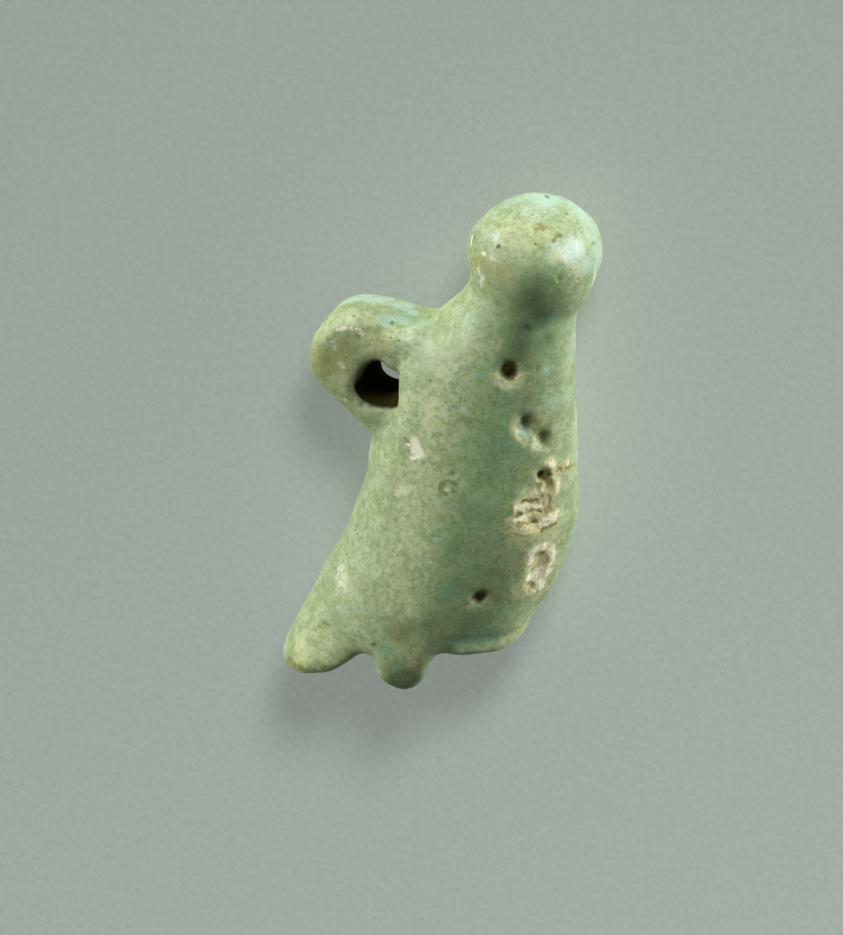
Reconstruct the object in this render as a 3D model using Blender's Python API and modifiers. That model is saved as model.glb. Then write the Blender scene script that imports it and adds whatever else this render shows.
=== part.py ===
"""Small moulded and glazed amulet in the form of the tall white crown.

It lies on its side: +X is the crown's front, +Y its top and +Z the side that
faces up. The crown is shaped about its own middle plane, with its lowest
point at up = 0, and an empty then sets the finished form down on the ground.
"""
import math

import bmesh
import bpy
from mathutils import Matrix, Vector

mm = 0.001

# Driving dimensions
crown_height = 26.2 * mm
knob_radius = 3.33 * mm
loop_thickness = 4.0 * mm
loop_edge_radius = 0.7 * mm
cord_hole_radius = 1.08 * mm
rim_wall = 1.4 * mm
hollow_depth = 1.2 * mm
hollow_dome = 4.0 * mm
flat_spot_depth = 0.4 * mm

# Fineness of the softened surface
voxel_size = 0.22 * mm
smoothing_passes = 14
kept_share_of_faces = 0.14
weld_distance = 0.001 * mm

# Every place below is (forward, up) in shares of the crown's height.
knob_place = (0.1695, 0.873)
cord_hole_place = (-0.117, 0.615)

# The oval cross-sections from below the rim up to the neck: where each has its
# back and its front, and half its thickness from side to side.
sections = (
    ((-0.355, -0.045), (0.100, -0.020), 0.149),
    ((-0.316, 0.061), (0.170, 0.134), 0.154),
    ((-0.274, 0.153), (0.195, 0.189), 0.156),
    ((-0.244, 0.219), (0.224, 0.254), 0.156),
    ((-0.208, 0.285), (0.242, 0.318), 0.156),
    ((-0.183, 0.350), (0.251, 0.381), 0.154),
    ((-0.163, 0.414), (0.251, 0.443), 0.151),
    ((-0.155, 0.474), (0.250, 0.500), 0.147),
    ((-0.119, 0.560), (0.248, 0.550), 0.143),
    ((-0.095, 0.653), (0.245, 0.616), 0.136),
    ((-0.028, 0.743), (0.244, 0.689), 0.124),
    ((0.033, 0.814), (0.245, 0.751), 0.111),
    ((0.069, 0.874), (0.257, 0.817), 0.101),
)
rings_between_sections = 4
points_around = 40

# The lower edge in side view, from behind the nape to before the forehead:
# the nape lobe, the notch over the ear, the tab in front of it and the rim.
lower_edge = (
    (-0.370, 0.050),
    (-0.325, 0.004),
    (-0.282, -0.004),
    (-0.237, 0.008),
    (-0.161, 0.056),
    (-0.126, 0.080),
    (-0.105, 0.068),
    (-0.086, 0.034),
    (-0.049, 0.008),
    (-0.010, 0.036),
    (0.002, 0.074),
    (0.012, 0.084),
    (0.040, 0.088),
    (0.145, 0.097),
    (0.190, 0.135),
    (0.228, 0.200),
)

# The hanging loop in side view: how wide it is from the edge of the cord hole
# outwards, at each angle round the hole, and its root inside the body.
loop_widths = (
    (113, 2.56 * mm),
    (144, 2.98 * mm),
    (170, 2.91 * mm),
    (191, 2.39 * mm),
    (214, 1.51 * mm),
    (252, 1.86 * mm),
)
loop_root = ((0.000, 0.453), (0.110, 0.605), (0.050, 0.745), (-0.047, 0.731))

# Gas pits and worn hollows in the upward side: the place of each, half its
# width, half its length up the crown, and its depth.
pits = (
    ((0.155, 0.689), 0.50 * mm, 0.50 * mm, 0.60 * mm),
    ((0.182, 0.580), 0.38 * mm, 0.48 * mm, 0.35 * mm),
    ((0.209, 0.547), 0.36 * mm, 0.42 * mm, 0.35 * mm),
    ((0.213, 0.472), 0.48 * mm, 0.36 * mm, 0.45 * mm),
    ((0.103, 0.227), 0.50 * mm, 0.34 * mm, 0.35 * mm),
    ((0.200, 0.415), 1.10 * mm, 1.50 * mm, 0.30 * mm),
    ((0.203, 0.270), 0.70 * mm, 1.30 * mm, 0.25 * mm),
)

glaze_colour = (0.42, 0.53, 0.38, 1.0)
glaze_roughness = 0.38


def clear_scene():
    for item in list(bpy.data.objects):
        bpy.data.objects.remove(item, do_unlink=True)


def new_collection(name, shown):
    collection = bpy.data.collections.new(name)
    collection.hide_render = not shown
    bpy.context.scene.collection.children.link(collection)
    return collection


def add_object(name, data, collection):
    item = bpy.data.objects.new(name, data)
    collection.objects.link(item)
    if collection.hide_render:
        item.hide_render = True
        item.display_type = "WIRE"
    return item


def mesh_from(name, mesh):
    data = bpy.data.meshes.new(name)
    mesh.to_mesh(data)
    mesh.free()
    return data


def place_of(share):
    """Point on the middle plane for a (forward, up) pair of shares."""
    forward, up = share
    return Vector((forward * crown_height, up * crown_height, 0))


def section_values(row):
    back, front, half_thickness = row
    return [*back, *front, half_thickness]


def between(rows, position):
    """Smooth values at a fractional row, running through every row."""
    low = min(int(position), len(rows) - 2)
    t = position - low
    before = rows[max(low - 1, 0)]
    after = rows[min(low + 2, len(rows) - 1)]
    found = []
    for a, b, c, d in zip(before, rows[low], rows[low + 1], after):
        found.append(
            (2 * t**3 - 3 * t**2 + 1) * b
            + (t**3 - 2 * t**2 + t) * (c - a) / 2
            + (3 * t**2 - 2 * t**3) * c
            + (t**3 - t**2) * (d - b) / 2
        )
    return found


def body_mesh():
    """Loft of the leaning oval sections, closed by a flat face at each end."""
    mesh = bmesh.new()
    rows = [section_values(row) for row in sections]
    rings = []
    for step in range((len(rows) - 1) * rings_between_sections + 1):
        values = between(rows, step / rings_between_sections)
        back, front = place_of(values[0:2]), place_of(values[2:4])
        half_thickness = values[4] * crown_height
        ring = []
        for k in range(points_around):
            angle = 2 * math.pi * k / points_around
            place = back.lerp(front, (1 + math.cos(angle)) / 2)
            place.z = half_thickness * math.sin(angle)
            ring.append(mesh.verts.new(place))
        rings.append(ring)
    for lower, upper in zip(rings, rings[1:]):
        for k in range(points_around):
            after = (k + 1) % points_around
            mesh.faces.new((lower[k], lower[after], upper[after], upper[k]))
    mesh.faces.new(rings[0])
    mesh.faces.new(rings[-1])
    bmesh.ops.recalc_face_normals(mesh, faces=mesh.faces)
    return mesh_from("crown_body", mesh)


def ellipsoid(name, collection, centre, semi_axes, turn=None, fineness=4):
    turn = turn or Matrix.Identity(4)
    mesh = bmesh.new()
    bmesh.ops.create_icosphere(mesh, subdivisions=fineness, radius=1.0)
    place = Matrix.Translation(centre) @ turn @ Matrix.Diagonal((*semi_axes, 1.0))
    bmesh.ops.transform(mesh, matrix=place, verts=mesh.verts)
    return add_object(name, mesh_from(name, mesh), collection)


def slab(name, collection, outline, thickness, edge_radius=0.0, corners=()):
    """Flat piece across the middle plane, with a smoothly drawn outline.

    The corners close the outline with straight lines.
    """
    curve = bpy.data.curves.new(name, "CURVE")
    curve.dimensions = "2D"
    curve.fill_mode = "BOTH"
    curve.extrude = thickness / 2 - edge_radius
    curve.bevel_depth = edge_radius
    curve.bevel_resolution = 4
    curve.offset = -edge_radius
    spline = curve.splines.new("BEZIER")
    places = [*outline, *corners]
    spline.bezier_points.add(len(places) - 1)
    for point, place in zip(spline.bezier_points, places):
        handle = "VECTOR" if place in corners else "AUTO"
        point.co = place
        point.handle_left_type = handle
        point.handle_right_type = handle
    spline.use_cyclic_u = True
    spline.resolution_u = 8
    drawn = add_object(name + "_outline", curve, collection)
    graph = bpy.context.evaluated_depsgraph_get()
    data = bpy.data.meshes.new_from_object(drawn.evaluated_get(graph))
    bpy.data.objects.remove(drawn, do_unlink=True)
    mesh = bmesh.new()
    mesh.from_mesh(data)
    bmesh.ops.remove_doubles(mesh, verts=mesh.verts, dist=weld_distance)
    bmesh.ops.recalc_face_normals(mesh, faces=mesh.faces)
    return add_object(name, mesh_from(name, mesh), collection)


def add_knob(collection):
    ellipsoid("knob", collection, place_of(knob_place), (knob_radius,) * 3)


def add_loop(collection):
    hole = place_of(cord_hole_place)
    outline = []
    for degrees, width in loop_widths:
        angle = math.radians(degrees)
        outward = Vector((math.cos(angle), math.sin(angle), 0))
        outline.append(hole + outward * (cord_hole_radius + width))
    outline += [place_of(share) for share in loop_root]
    slab("loop", collection, outline, loop_thickness, loop_edge_radius)


def cut_lower_edge(collection):
    """Everything under the lower edge, right across the crown."""
    outline = [place_of(share) for share in lower_edge]
    far_below = -0.5 * crown_height
    corners = [Vector((place.x, far_below, 0)) for place in (outline[-1], outline[0])]
    slab("below_rim", collection, outline, crown_height, corners=corners)


def cut_hollow(collection):
    """Domed hollow under the crown, which leaves the nape and the tabs as walls."""
    back, front, half_thickness = sections[1]
    back, front = place_of(back), place_of(front)
    along = front - back
    upward = Vector((-along.y, along.x, 0)).normalized()
    ellipsoid(
        "hollow",
        collection,
        (back + front) / 2 - upward * (hollow_dome - hollow_depth),
        (
            along.length / 2 - rim_wall,
            hollow_dome,
            half_thickness * crown_height - rim_wall,
        ),
        Matrix.Rotation(math.atan2(along.y, along.x), 4, "Z"),
    )


def cut_cord_hole(collection):
    mesh = bmesh.new()
    bmesh.ops.create_cone(
        mesh,
        cap_ends=True,
        segments=32,
        radius1=cord_hole_radius,
        radius2=cord_hole_radius,
        depth=3 * loop_thickness,
        matrix=Matrix.Translation(place_of(cord_hole_place)),
    )
    add_object("cord_hole", mesh_from("cord_hole", mesh), collection)


def cut_pits(body, collection):
    """Each pit goes straight into the surface of the body at its place."""
    bpy.context.view_layer.update()
    for number, (share, half_width, half_length, depth) in enumerate(pits, 1):
        above = place_of(share) + Vector((0, 0, crown_height))
        _, surface, normal, _ = body.ray_cast(above, Vector((0, 0, -1)))
        across = Vector((0, 1, 0)).cross(normal).normalized()
        turn = Matrix((across, normal.cross(across), normal)).transposed().to_4x4()
        semi_axes = (half_width, half_length, depth)
        ellipsoid(f"pit_{number}", collection, surface, semi_axes, turn, fineness=3)


def add_boolean(item, name, operation, collection):
    modifier = item.modifiers.new(name, "BOOLEAN")
    modifier.operation = operation
    modifier.operand_type = "COLLECTION"
    modifier.collection = collection
    modifier.solver = "EXACT"


def soften(item):
    """The moulded paste and its thick glaze round off every join and edge."""
    remesh = item.modifiers.new("paste", "REMESH")
    remesh.mode = "VOXEL"
    remesh.voxel_size = voxel_size
    remesh.use_smooth_shade = True
    smooth = item.modifiers.new("worn soft", "SMOOTH")
    smooth.factor = 0.5
    smooth.iterations = smoothing_passes
    fewer = item.modifiers.new("fewer faces", "DECIMATE")
    fewer.ratio = kept_share_of_faces


def resting_height():
    """How far below the middle plane the ground lies."""
    thickest = max(half_thickness for _, _, half_thickness in sections)
    return thickest * crown_height - flat_spot_depth


def cut_flat_spot(collection):
    size = 2 * crown_height
    mesh = bmesh.new()
    below = Matrix.Translation((0, crown_height / 2, -resting_height() - size / 2))
    bmesh.ops.create_cube(mesh, size=size, matrix=below)
    add_object("ground", mesh_from("ground", mesh), collection)


def glaze_material():
    material = bpy.data.materials.new("glazed_faience")
    material.use_nodes = True
    shader = material.node_tree.nodes["Principled BSDF"]
    shader.inputs["Base Color"].default_value = glaze_colour
    shader.inputs["Roughness"].default_value = glaze_roughness
    material.diffuse_color = glaze_colour
    return material


def set_down(amulet):
    """Moves everything so that the form's box stands centred on the ground."""
    pose = bpy.data.objects.new("lying_pose", None)
    bpy.context.scene.collection.objects.link(pose)
    for item in bpy.data.objects:
        if item is not pose:
            item.parent = pose
    graph = bpy.context.evaluated_depsgraph_get()
    corners = [Vector(corner) for corner in amulet.evaluated_get(graph).bound_box]
    low = Vector(min(corner[axis] for corner in corners) for axis in range(3))
    high = Vector(max(corner[axis] for corner in corners) for axis in range(3))
    pose.location = (-(low.x + high.x) / 2, -(low.y + high.y) / 2, -low.z)


def main():
    clear_scene()
    parts = new_collection("crown_amulet", shown=True)
    added_forms = new_collection("added_forms", shown=False)
    openings = new_collection("openings", shown=False)
    surface_cuts = new_collection("surface_cuts", shown=False)

    amulet = add_object("crown_amulet", body_mesh(), parts)
    amulet.data.materials.append(glaze_material())
    cut_pits(amulet, surface_cuts)
    cut_flat_spot(surface_cuts)
    add_knob(added_forms)
    add_loop(added_forms)
    cut_lower_edge(openings)
    cut_hollow(openings)
    cut_cord_hole(openings)

    add_boolean(amulet, "added forms", "UNION", added_forms)
    add_boolean(amulet, "openings", "DIFFERENCE", openings)
    soften(amulet)
    add_boolean(amulet, "pits and flat spot", "DIFFERENCE", surface_cuts)
    set_down(amulet)


main()
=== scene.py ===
import math

import bpy
import numpy as np
from mathutils import Matrix, Vector, noise
from mathutils.bvhtree import BVHTree


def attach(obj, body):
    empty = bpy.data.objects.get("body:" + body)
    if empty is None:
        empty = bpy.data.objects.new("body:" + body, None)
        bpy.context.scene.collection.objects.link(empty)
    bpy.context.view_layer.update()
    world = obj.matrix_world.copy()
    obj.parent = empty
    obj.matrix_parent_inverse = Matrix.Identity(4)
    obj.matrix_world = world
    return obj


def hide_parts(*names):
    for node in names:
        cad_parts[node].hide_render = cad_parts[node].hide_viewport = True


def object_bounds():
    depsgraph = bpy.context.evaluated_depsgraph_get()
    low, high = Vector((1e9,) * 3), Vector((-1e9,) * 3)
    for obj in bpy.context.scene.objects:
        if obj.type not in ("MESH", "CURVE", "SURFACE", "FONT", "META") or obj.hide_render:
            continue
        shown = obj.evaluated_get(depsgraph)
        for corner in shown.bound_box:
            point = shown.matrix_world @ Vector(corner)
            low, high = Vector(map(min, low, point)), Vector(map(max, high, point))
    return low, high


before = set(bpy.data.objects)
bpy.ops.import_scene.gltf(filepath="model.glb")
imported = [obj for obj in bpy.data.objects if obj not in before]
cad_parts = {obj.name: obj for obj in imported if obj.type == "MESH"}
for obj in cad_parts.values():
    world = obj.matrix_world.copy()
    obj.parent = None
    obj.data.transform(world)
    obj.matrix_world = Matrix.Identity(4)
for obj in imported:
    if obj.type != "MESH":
        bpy.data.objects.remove(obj)        # one solid, the crown, lying on its left side
cadLow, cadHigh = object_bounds()

millimetre = 0.001
photoWidth, photoHeight = 843, 935        # the photo's frame, in pixels


# Small helpers

def smoothStep(low, high, value):
    share = np.clip((value - low) / (high - low), 0.0, 1.0)
    return share * share * (3.0 - 2.0 * share)


def bell(distance, width):
    return np.exp(-(distance / width) ** 2)


def unit(vector):
    return vector / np.linalg.norm(vector)


def selectOnly(thing):
    bpy.ops.object.select_all(action="DESELECT")
    thing.select_set(True)
    bpy.context.view_layer.objects.active = thing


def editFaces(thing, chosen, operation, **values):        # an edit-mode operator on these faces alone
    selectOnly(thing)
    bpy.ops.object.mode_set(mode="EDIT")
    bpy.ops.mesh.select_mode(type="FACE")
    bpy.ops.mesh.select_all(action="DESELECT")
    bpy.ops.object.mode_set(mode="OBJECT")
    thing.data.polygons.foreach_set("select", chosen)
    bpy.ops.object.mode_set(mode="EDIT")
    operation(**values)
    bpy.ops.object.mode_set(mode="OBJECT")


def facesAt(mesh, marked):        # the faces that have one of the marked vertices
    corners = np.empty(len(mesh.loops), np.int32)
    mesh.loops.foreach_get("vertex_index", corners)
    starts = np.empty(len(mesh.polygons), np.int32)
    mesh.polygons.foreach_get("loop_start", starts)
    return np.logical_or.reduceat(marked[corners], starts)


def applyModifier(thing, kind, **values):
    selectOnly(thing)
    modifier = thing.modifiers.new(kind.title(), kind)
    for name, value in values.items():
        setattr(modifier, name, value)
    bpy.ops.object.modifier_apply(modifier=modifier.name)


# Camera: it looks down on the lying crown as the photo looks at its right side

cameraLooks = {
    "turn": 18.0,             # degrees round towards the crown's front
    "tilt": 22.0,             # degrees over towards its top
    "distance": 300.0,        # mm
    "pixelsPerMm": 20.0,
    "centrePixel": (440.3, 434.0),        # where the photo has the middle of the solid's box
    "sensor": 36.0,
    "clipStart": 0.01,
}


class PhotoView:
    # the photo's axes in the row frame, in millimetres, and the ray behind each of its pixels
    def __init__(self, looks):
        turn, tilt = math.radians(looks["turn"]), math.radians(looks["tilt"])
        level = math.cos(tilt)
        self.back = np.array((math.sin(turn) * level, math.sin(tilt), math.cos(turn) * level))
        self.right = np.array((math.cos(turn), 0.0, -math.sin(turn)))
        self.up = np.cross(self.back, self.right)
        self.scale = looks["pixelsPerMm"]
        boxMiddle = np.array((cadLow + cadHigh) / 2) / millimetre
        self.target = boxMiddle - self.onPicture(looks["centrePixel"])
        self.eye = self.target + looks["distance"] * self.back

    def onPicture(self, pixel):        # a pixel's offset from the picture's middle
        across = (pixel[0] - photoWidth / 2) / self.scale
        down = (pixel[1] - photoHeight / 2) / self.scale
        return across * self.right - down * self.up

    def ray(self, pixel):
        return unit(self.target + self.onPicture(pixel) - self.eye)

    def awayFrom(self, pixel, points):        # distance from a pixel as the camera sees it, in mm
        offset = points - self.eye
        nearer = np.linalg.norm(self.eye - self.target) / -(offset @ self.back)
        across = offset @ self.right * nearer - (pixel[0] - photoWidth / 2) / self.scale
        up = offset @ self.up * nearer + (pixel[1] - photoHeight / 2) / self.scale
        return np.hypot(across, up)


def makeCamera(photo, looks):
    bpy.ops.object.camera_add(location=photo.eye * millimetre)
    camera = bpy.context.object
    axes = Matrix((photo.right, photo.up, photo.back)).transposed()
    camera.rotation_euler = axes.to_euler()
    camera.data.sensor_width = looks["sensor"]
    camera.data.lens = looks["sensor"] * looks["distance"] / (photoHeight / photo.scale)
    camera.data.clip_start = looks["clipStart"]
    bpy.context.scene.camera = camera


# The piece as clay: its vertices in millimetres, moved in code and written back to the mesh

clayLooks = {
    "farAway": 99.0,          # stands for out of reach
    "facing": (-0.05, 0.15),        # cosines between which a surface turns towards the camera
    "slant": 0.55,            # the least cosine by which an oval on a slanting surface is corrected
    "reach": (0.4, 4.0),      # how far an oval is looked for: in mm, and in its own sizes
    "wall": (1.6, -0.2),      # mm and cosine past which a vertex lies on another wall
    "ripples": ((2, 1.0, 1.0), (3, 2.3, 0.6), (5, 4.1, 0.4)),        # lobes round an oval, seed share, height
}


class Clay:
    def __init__(self, piece, photo):
        self.piece = piece
        self.photo = photo
        self.tints = {}
        mesh = piece.data
        count = len(mesh.vertices)
        self.points = np.empty(count * 3, np.float32)
        self.normals = np.empty(count * 3, np.float32)
        mesh.vertices.foreach_get("co", self.points)
        mesh.vertex_normals.foreach_get("vector", self.normals)
        self.points = self.points.reshape(-1, 3).astype(float) / millimetre
        self.normals = self.normals.reshape(-1, 3).astype(float)
        self.tree = BVHTree.FromObject(piece, bpy.context.evaluated_depsgraph_get())

    def write(self):
        self.points[:, 2] = np.maximum(self.points[:, 2], 0.0)        # the flat spot stays on the ground
        self.piece.data.vertices.foreach_set("co", (self.points * millimetre).astype(np.float32).ravel())
        self.piece.data.update()

    def facing(self):        # 1 where the surface faces the camera, 0 where it is turned away
        return smoothStep(*clayLooks["facing"], self.normals @ self.photo.back)

    def spot(self, pixel, reach=0.35):        # the place under a pixel, with axes lying in the surface
        eye, ray = Vector(self.photo.eye * millimetre), Vector(self.photo.ray(pixel))
        place = self.tree.ray_cast(eye, ray)[0]
        if place is None:        # a pixel just off the edge takes the nearest place on it
            place = self.tree.find_nearest(eye + ray * cameraLooks["distance"] * millimetre)[0]
        place = np.array(place) / millimetre
        near = np.linalg.norm(self.points - place, axis=1) < reach
        normal = unit(self.normals[near].sum(0))
        across = unit(self.photo.right - normal * (self.photo.right @ normal))
        return place, normal, across, np.cross(normal, across)

    def gap(self, pixel):        # distance from the place under a pixel
        return np.linalg.norm(self.points - self.spot(pixel)[0], axis=1)

    def around(self, pixel, wide, tall, turn=0.0, waver=0.0, seed=0.0):
        # distance from a spot as a share of an oval's half width and height as the photo shows them
        place, normal, across, along = self.spot(pixel)
        angle = math.radians(turn)
        margin, sizes = clayLooks["reach"]
        near = np.flatnonzero(np.linalg.norm(self.points - place, axis=1) < margin + sizes * max(wide, tall))
        offset = self.points[near] - place
        first = offset @ across * max(clayLooks["slant"], across @ self.photo.right)
        second = offset @ along * max(clayLooks["slant"], along @ self.photo.up)
        u = (first * math.cos(angle) + second * math.sin(angle)) / wide
        v = (second * math.cos(angle) - first * math.sin(angle)) / tall
        bearing = np.arctan2(v, u)
        ripple = sum(height * np.sin(lobes * bearing + part * seed)
                     for lobes, part, height in clayLooks["ripples"])
        thick, turned = clayLooks["wall"]
        away = (np.abs(offset @ normal) > thick) | (self.normals[near] @ normal < turned)
        share = np.full(len(self.points), clayLooks["farAway"], float)
        share[near] = np.where(away, clayLooks["farAway"], np.hypot(u, v) * (1 + waver * ripple))
        return share, normal

    def path(self, pixels):        # distance from a line drawn over the surface through these pixels
        places = [self.spot(pixel)[0] for pixel in pixels]
        nearest = np.full(len(self.points), clayLooks["farAway"], float)
        for start, end in zip(places, places[1:]):
            run = end - start
            share = np.clip((self.points - start) @ run / (run @ run), 0, 1)
            gap = np.linalg.norm(self.points - start - share[:, None] * run, axis=1)
            nearest = np.minimum(nearest, gap)
        return nearest

    def lumps(self, size, seed):        # smooth noise from about -1 to 1 at each vertex
        places = (self.points / size + seed).tolist()
        return np.array([noise.noise(place) for place in places])

    def uneven(self, layers):        # noises added up: the size, height and seed of each
        return sum(height * self.lumps(size, seed) for size, height, seed in layers)

    def paint(self, name, amount):
        old = self.tints.get(name, np.zeros(len(self.points)))
        self.tints[name] = np.maximum(old, amount)

    def keepTints(self):
        for name, values in self.tints.items():
            layer = self.piece.data.attributes.new(name, "FLOAT", "POINT")
            layer.data.foreach_set("value", np.clip(values, 0, 1).astype(np.float32))


# The glazed crown's form

crownForm = {
    "voxel": 0.12,            # mm, the mesh's own cell
    "smoothPasses": 20,
    "hiddenShare": 0.42,      # of the faces that the camera never sees
    "hiddenFrom": -0.2,       # the cosine to the camera from which they count as that
    "groundFade": (0, 0.5),        # mm above the ground over which a move comes to its full size
    # broad unevenness of a hand-made piece: size, height and seed
    "lumps": ((3.2, 0.08, 3), (1.3, 0.03, 11), (0.45, 0.01, 23)),
    # pulls that bring the outline to the photo's, from the knob down: across and down in the photo,
    # shift to the right and up in mm, reach
    "pulls": (
        (470, 231, -0.24, 0, 1.6), (540, 192, 0, -0.1, 1.8), (594, 220, 0.12, 0, 1),
        (598, 284, -0.18, 0, 1.1), (463, 292, 0.16, -0.1, 0.9), (350, 300, -0.12, 0.2, 1.3),
        (338, 401, -0.09, -0.15, 0.8), (392, 364, -0.15, -0.17, 0.45), (286, 645, -0.22, -0.02, 1.8),
        (335, 668, 0, -0.2, 0.9), (382, 676, -0.3, -0.06, 0.7), (390, 686, -0.16, 0, 0.5),
        (436, 662, -0.08, 0, 1), (444, 658, 0, 0.27, 0.8), (474, 654, 0, 0.1, 1),
        (535, 622, -0.14, 0.04, 1.1), (575, 520, 0.13, 0, 1.3), (555, 588, 0.1, -0.02, 0.9),
        (541, 605, -0.05, 0.02, 0.6),
    ),
    # gentle swells and hollows, one on the knob and four on the loop: across, down, height in mm, reach
    "swells": (
        (538, 268, 0.2, 1.1), (380, 350, 0.12, 0.5), (392, 322, -0.22, 0.8), (407, 339, 0.13, 0.9),
        (419, 352, 0.15, 0.9),
    ),
    "keel": ((434, 652), (434, 620), (437, 585), (443, 545), (452, 500)),
    "keelHeight": 0.15,
    "keelWidth": 1.3,
    # the body stands a step above the loop's root: path, height, how far it runs to the right, sharpness
    "step": ((402, 366), (402, 382), (402, 398), (400, 416)),
    "stepHeight": 0.2,
    "stepRun": 1.3,
    "stepEdge": 0.1,
    "stepEnd": (0.7, -0.3),        # mm beyond its upper end
    "lipHeight": 0.21,
    "lipWidth": 0.28,
    "lipMiddle": 0.32,        # above the lower edge
    "grooveDepth": 0.13,
    "grooveWidth": 0.4,
    "grooveMiddle": 0.95,
    "lipFade": (3.5, 4.8),    # where the lip dies away towards the front, in mm
    "grooveFade": (3.2, 4.5),
    "lipStart": (0.4, 2.2),
    "boreAxis": (-2.62, 3.07),
    "boreRadius": 1.08,
    "boreMouth": ((364, 391), 0.75, 1.1, 0.18),        # worn wide towards the back
    "mouthEdge": (1.2, 0.1),
    # smoothed once more: how far round the bore, in its radii, and above the lower edge, and how often
    "mouthReach": 1.35,
    "mouthPasses": 25,
    "edgeReach": 1.1,
    "edgePasses": 20,
    "aboveFlat": 0.6,         # the flat spot keeps its edge
    # the lower edge is read in cells along the crown; cosines tell the wall's outside from the hollow
    "edgeCell": 0.2,
    "edgeWindow": 0.15,
    "rimward": (0.2, -0.3),
    "sideward": (0.3, 0.7),
}


def copyOfSolid(node, name):
    piece = bpy.data.objects.new(name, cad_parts[node].data.copy())
    bpy.context.scene.collection.objects.link(piece)
    piece.data.materials.clear()
    selectOnly(piece)
    bpy.ops.object.mode_set(mode="EDIT")
    bpy.ops.mesh.select_all(action="SELECT")
    bpy.ops.mesh.remove_doubles(threshold=1e-6)
    bpy.ops.object.mode_set(mode="OBJECT")
    return piece


def refineMesh(piece, form):
    applyModifier(piece, "REMESH", mode="VOXEL", voxel_size=form["voxel"] * millimetre, use_smooth_shade=True)
    applyModifier(piece, "SMOOTH", factor=0.5, iterations=form["smoothPasses"])


def thinHiddenSide(piece, photo, form):
    mesh = piece.data
    normals = np.empty(len(mesh.polygons) * 3, np.float32)
    mesh.polygons.foreach_get("normal", normals)
    hidden = normals.reshape(-1, 3) @ photo.back < form["hiddenFrom"]
    editFaces(piece, hidden, bpy.ops.mesh.decimate, ratio=form["hiddenShare"])


def roundEdges(piece, photo, form):        # the worn mouth of the bore and the lower edge
    clay = Clay(piece, photo)
    gap = np.linalg.norm(clay.points[:, :2] - np.array(form["boreAxis"]), axis=1) / form["boreRadius"]
    above, _ = aboveEdge(clay, form)
    raised = clay.points[:, 2] > form["aboveFlat"]
    for part, distance in (("mouth", gap), ("edge", above)):
        chosen = facesAt(piece.data, (distance < form[part + "Reach"]) & raised)
        editFaces(piece, chosen, bpy.ops.mesh.vertices_smooth, factor=0.5, repeat=form[part + "Passes"])


def aboveEdge(clay, form):        # height above the crown's lower edge, and 1 on the wall's outside
    x, y = clay.points[:, 0], clay.points[:, 1]
    cells = np.arange(x.min(), x.max(), form["edgeCell"])
    lowest = [y[np.abs(x - cell) < form["edgeWindow"]].min() for cell in cells]
    outside = smoothStep(*form["rimward"], clay.normals[:, 1])
    outside = np.maximum(outside, smoothStep(*form["sideward"], np.abs(clay.normals[:, 2])))
    return y - np.interp(x, cells, lowest), outside


def lipShare(clay, form, fade="lipFade"):        # 1 along the front's lower edge, fading at its ends
    x = clay.points[:, 0]
    return smoothStep(*form["lipStart"], x) * smoothStep(*form[fade][::-1], x)


def shapeForm(clay, form):
    before = clay.points.copy()
    offGround = smoothStep(*form["groundFade"], before[:, 2])
    for across, down, right, up, reach in form["pulls"]:
        amount = (bell(clay.photo.awayFrom((across, down), before), reach) * offGround)[:, None]
        clay.points += amount * (right * clay.photo.right + up * clay.photo.up)

    height = clay.uneven(form["lumps"])
    for across, down, tallness, reach in form["swells"]:
        height += tallness * bell(clay.gap((across, down)), reach)
    height += form["keelHeight"] * bell(clay.path(form["keel"]), form["keelWidth"])

    above, outside = aboveEdge(clay, form)
    lip = bell(above - form["lipMiddle"], form["lipWidth"]) * lipShare(clay, form)
    groove = bell(above - form["grooveMiddle"], form["grooveWidth"]) * lipShare(clay, form, "grooveFade")
    height += outside * (form["lipHeight"] * lip - form["grooveDepth"] * groove)

    # the step where the body's side passes in front of the loop
    top, bottom = (clay.spot(pixel)[0] for pixel in (form["step"][0], form["step"][-1]))
    upward = unit(top - bottom)
    across = unit(np.cross(upward, clay.photo.back))
    beside, beyond = (clay.points - bottom) @ across, (clay.points - top) @ upward
    right = smoothStep(-form["stepEdge"], form["stepEdge"], beside)
    right = right * bell(clay.path(form["step"]), form["stepRun"])
    height += form["stepHeight"] * right * smoothStep(*form["stepEnd"], beyond) * clay.facing()
    move = clay.normals * (height * offGround)[:, None]

    pixel, wide, tall, depth = form["boreMouth"]
    share, normal = clay.around(pixel, wide, tall)
    move -= normal * (depth * smoothStep(*form["mouthEdge"], share))[:, None]
    clay.points += move
    clay.write()


# Wear and flaws, each placed by its pixel in the photo; sizes in mm

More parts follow.
